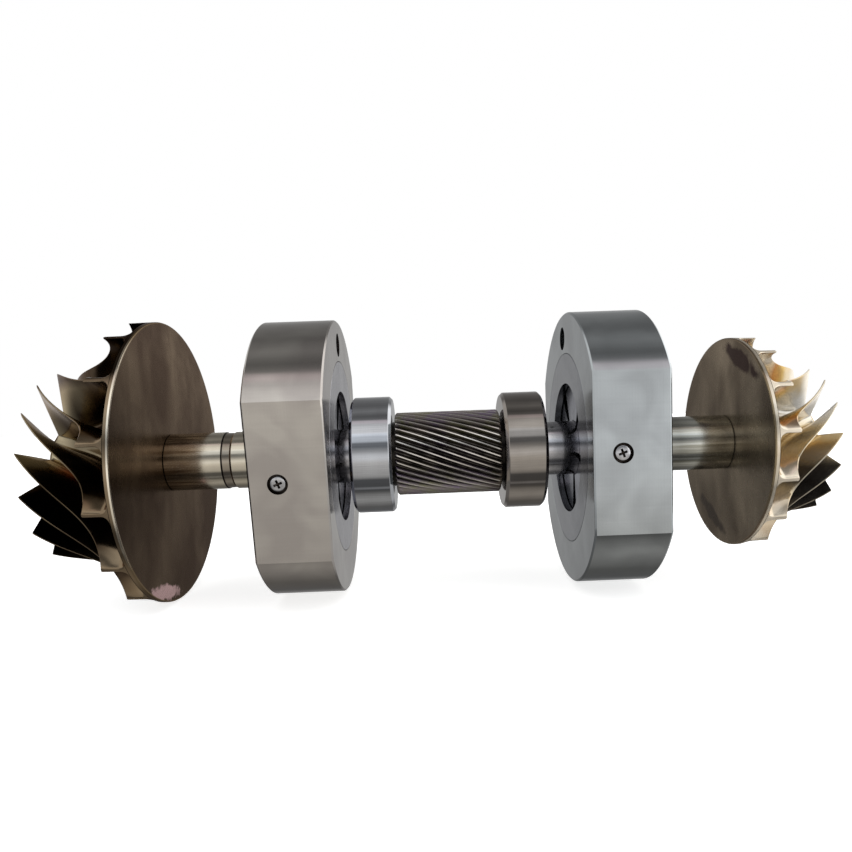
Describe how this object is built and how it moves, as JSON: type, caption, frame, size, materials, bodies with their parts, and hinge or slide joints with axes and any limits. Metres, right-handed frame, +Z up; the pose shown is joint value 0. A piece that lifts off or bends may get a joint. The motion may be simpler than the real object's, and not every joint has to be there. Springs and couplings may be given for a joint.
{
  "type": "air compressor rotor",
  "caption": "Helical pinion shaft with an impeller at each end, thrust collars beside the teeth, and a ring-shaped pad bearing with flats free to turn on each journal.",
  "frame": {"origin": "middle of the right bearing housing's back flat, where a bracket holds it", "axes": "+X along the shaft towards the smaller impeller, +Y out of the back flat, +Z up"},
  "size_m": [0.5532, 0.2059, 0.2059],
  "materials": {
    "ground_steel": "ground and satin, with fine marks",
    "pad_metal": "dark bearing metal",
    "bright_screw": "bright plated screw",
    "polished_steel": "polished journal steel",
    "collar_steel": "finely turned",
    "tinted_steel": "milled, heat tinted and stained brown",
    "dark_bolt": "blackened"
  },
  "bodies": {
    "bearing_right": {"bearing_housing_right": "ground_steel", "end_plate_inner_right": "ground_steel", "end_plate_outer_right": "ground_steel", "bearing_pad_right_1": "pad_metal", "bearing_pad_right_2": "pad_metal", "bearing_pad_right_3": "pad_metal", "bearing_pad_right_4": "pad_metal", "bearing_pad_right_5": "pad_metal", "flat_screw_right": "bright_screw"},
    "rotor": {"pinion_shaft": "polished_steel", "thrust_collar_left": "collar_steel", "thrust_collar_right": "collar_steel", "impeller_left": "tinted_steel", "impeller_washer_left": "dark_bolt", "impeller_bolt_left": "dark_bolt", "impeller_right": "tinted_steel", "impeller_washer_right": "dark_bolt", "impeller_bolt_right": "dark_bolt"},
    "bearing_left": {"bearing_housing_left": "ground_steel", "end_plate_inner_left": "ground_steel", "end_plate_outer_left": "ground_steel", "bearing_pad_left_1": "pad_metal", "bearing_pad_left_2": "pad_metal", "bearing_pad_left_3": "pad_metal", "bearing_pad_left_4": "pad_metal", "bearing_pad_left_5": "pad_metal", "flat_screw_left": "bright_screw"}
  },
  "joints": [
    {"name": "rotor_spin", "type": "hinge", "parent": "bearing_right", "child": "rotor", "pos_m": [0, -0.0853, 0], "axis": [1, 0, 0], "continuous": true},
    {"name": "left_bearing_turn", "type": "hinge", "parent": "rotor", "child": "bearing_left", "pos_m": [-0.21845, -0.0853, 0], "axis": [1, 0, 0], "continuous": true}
  ]
}
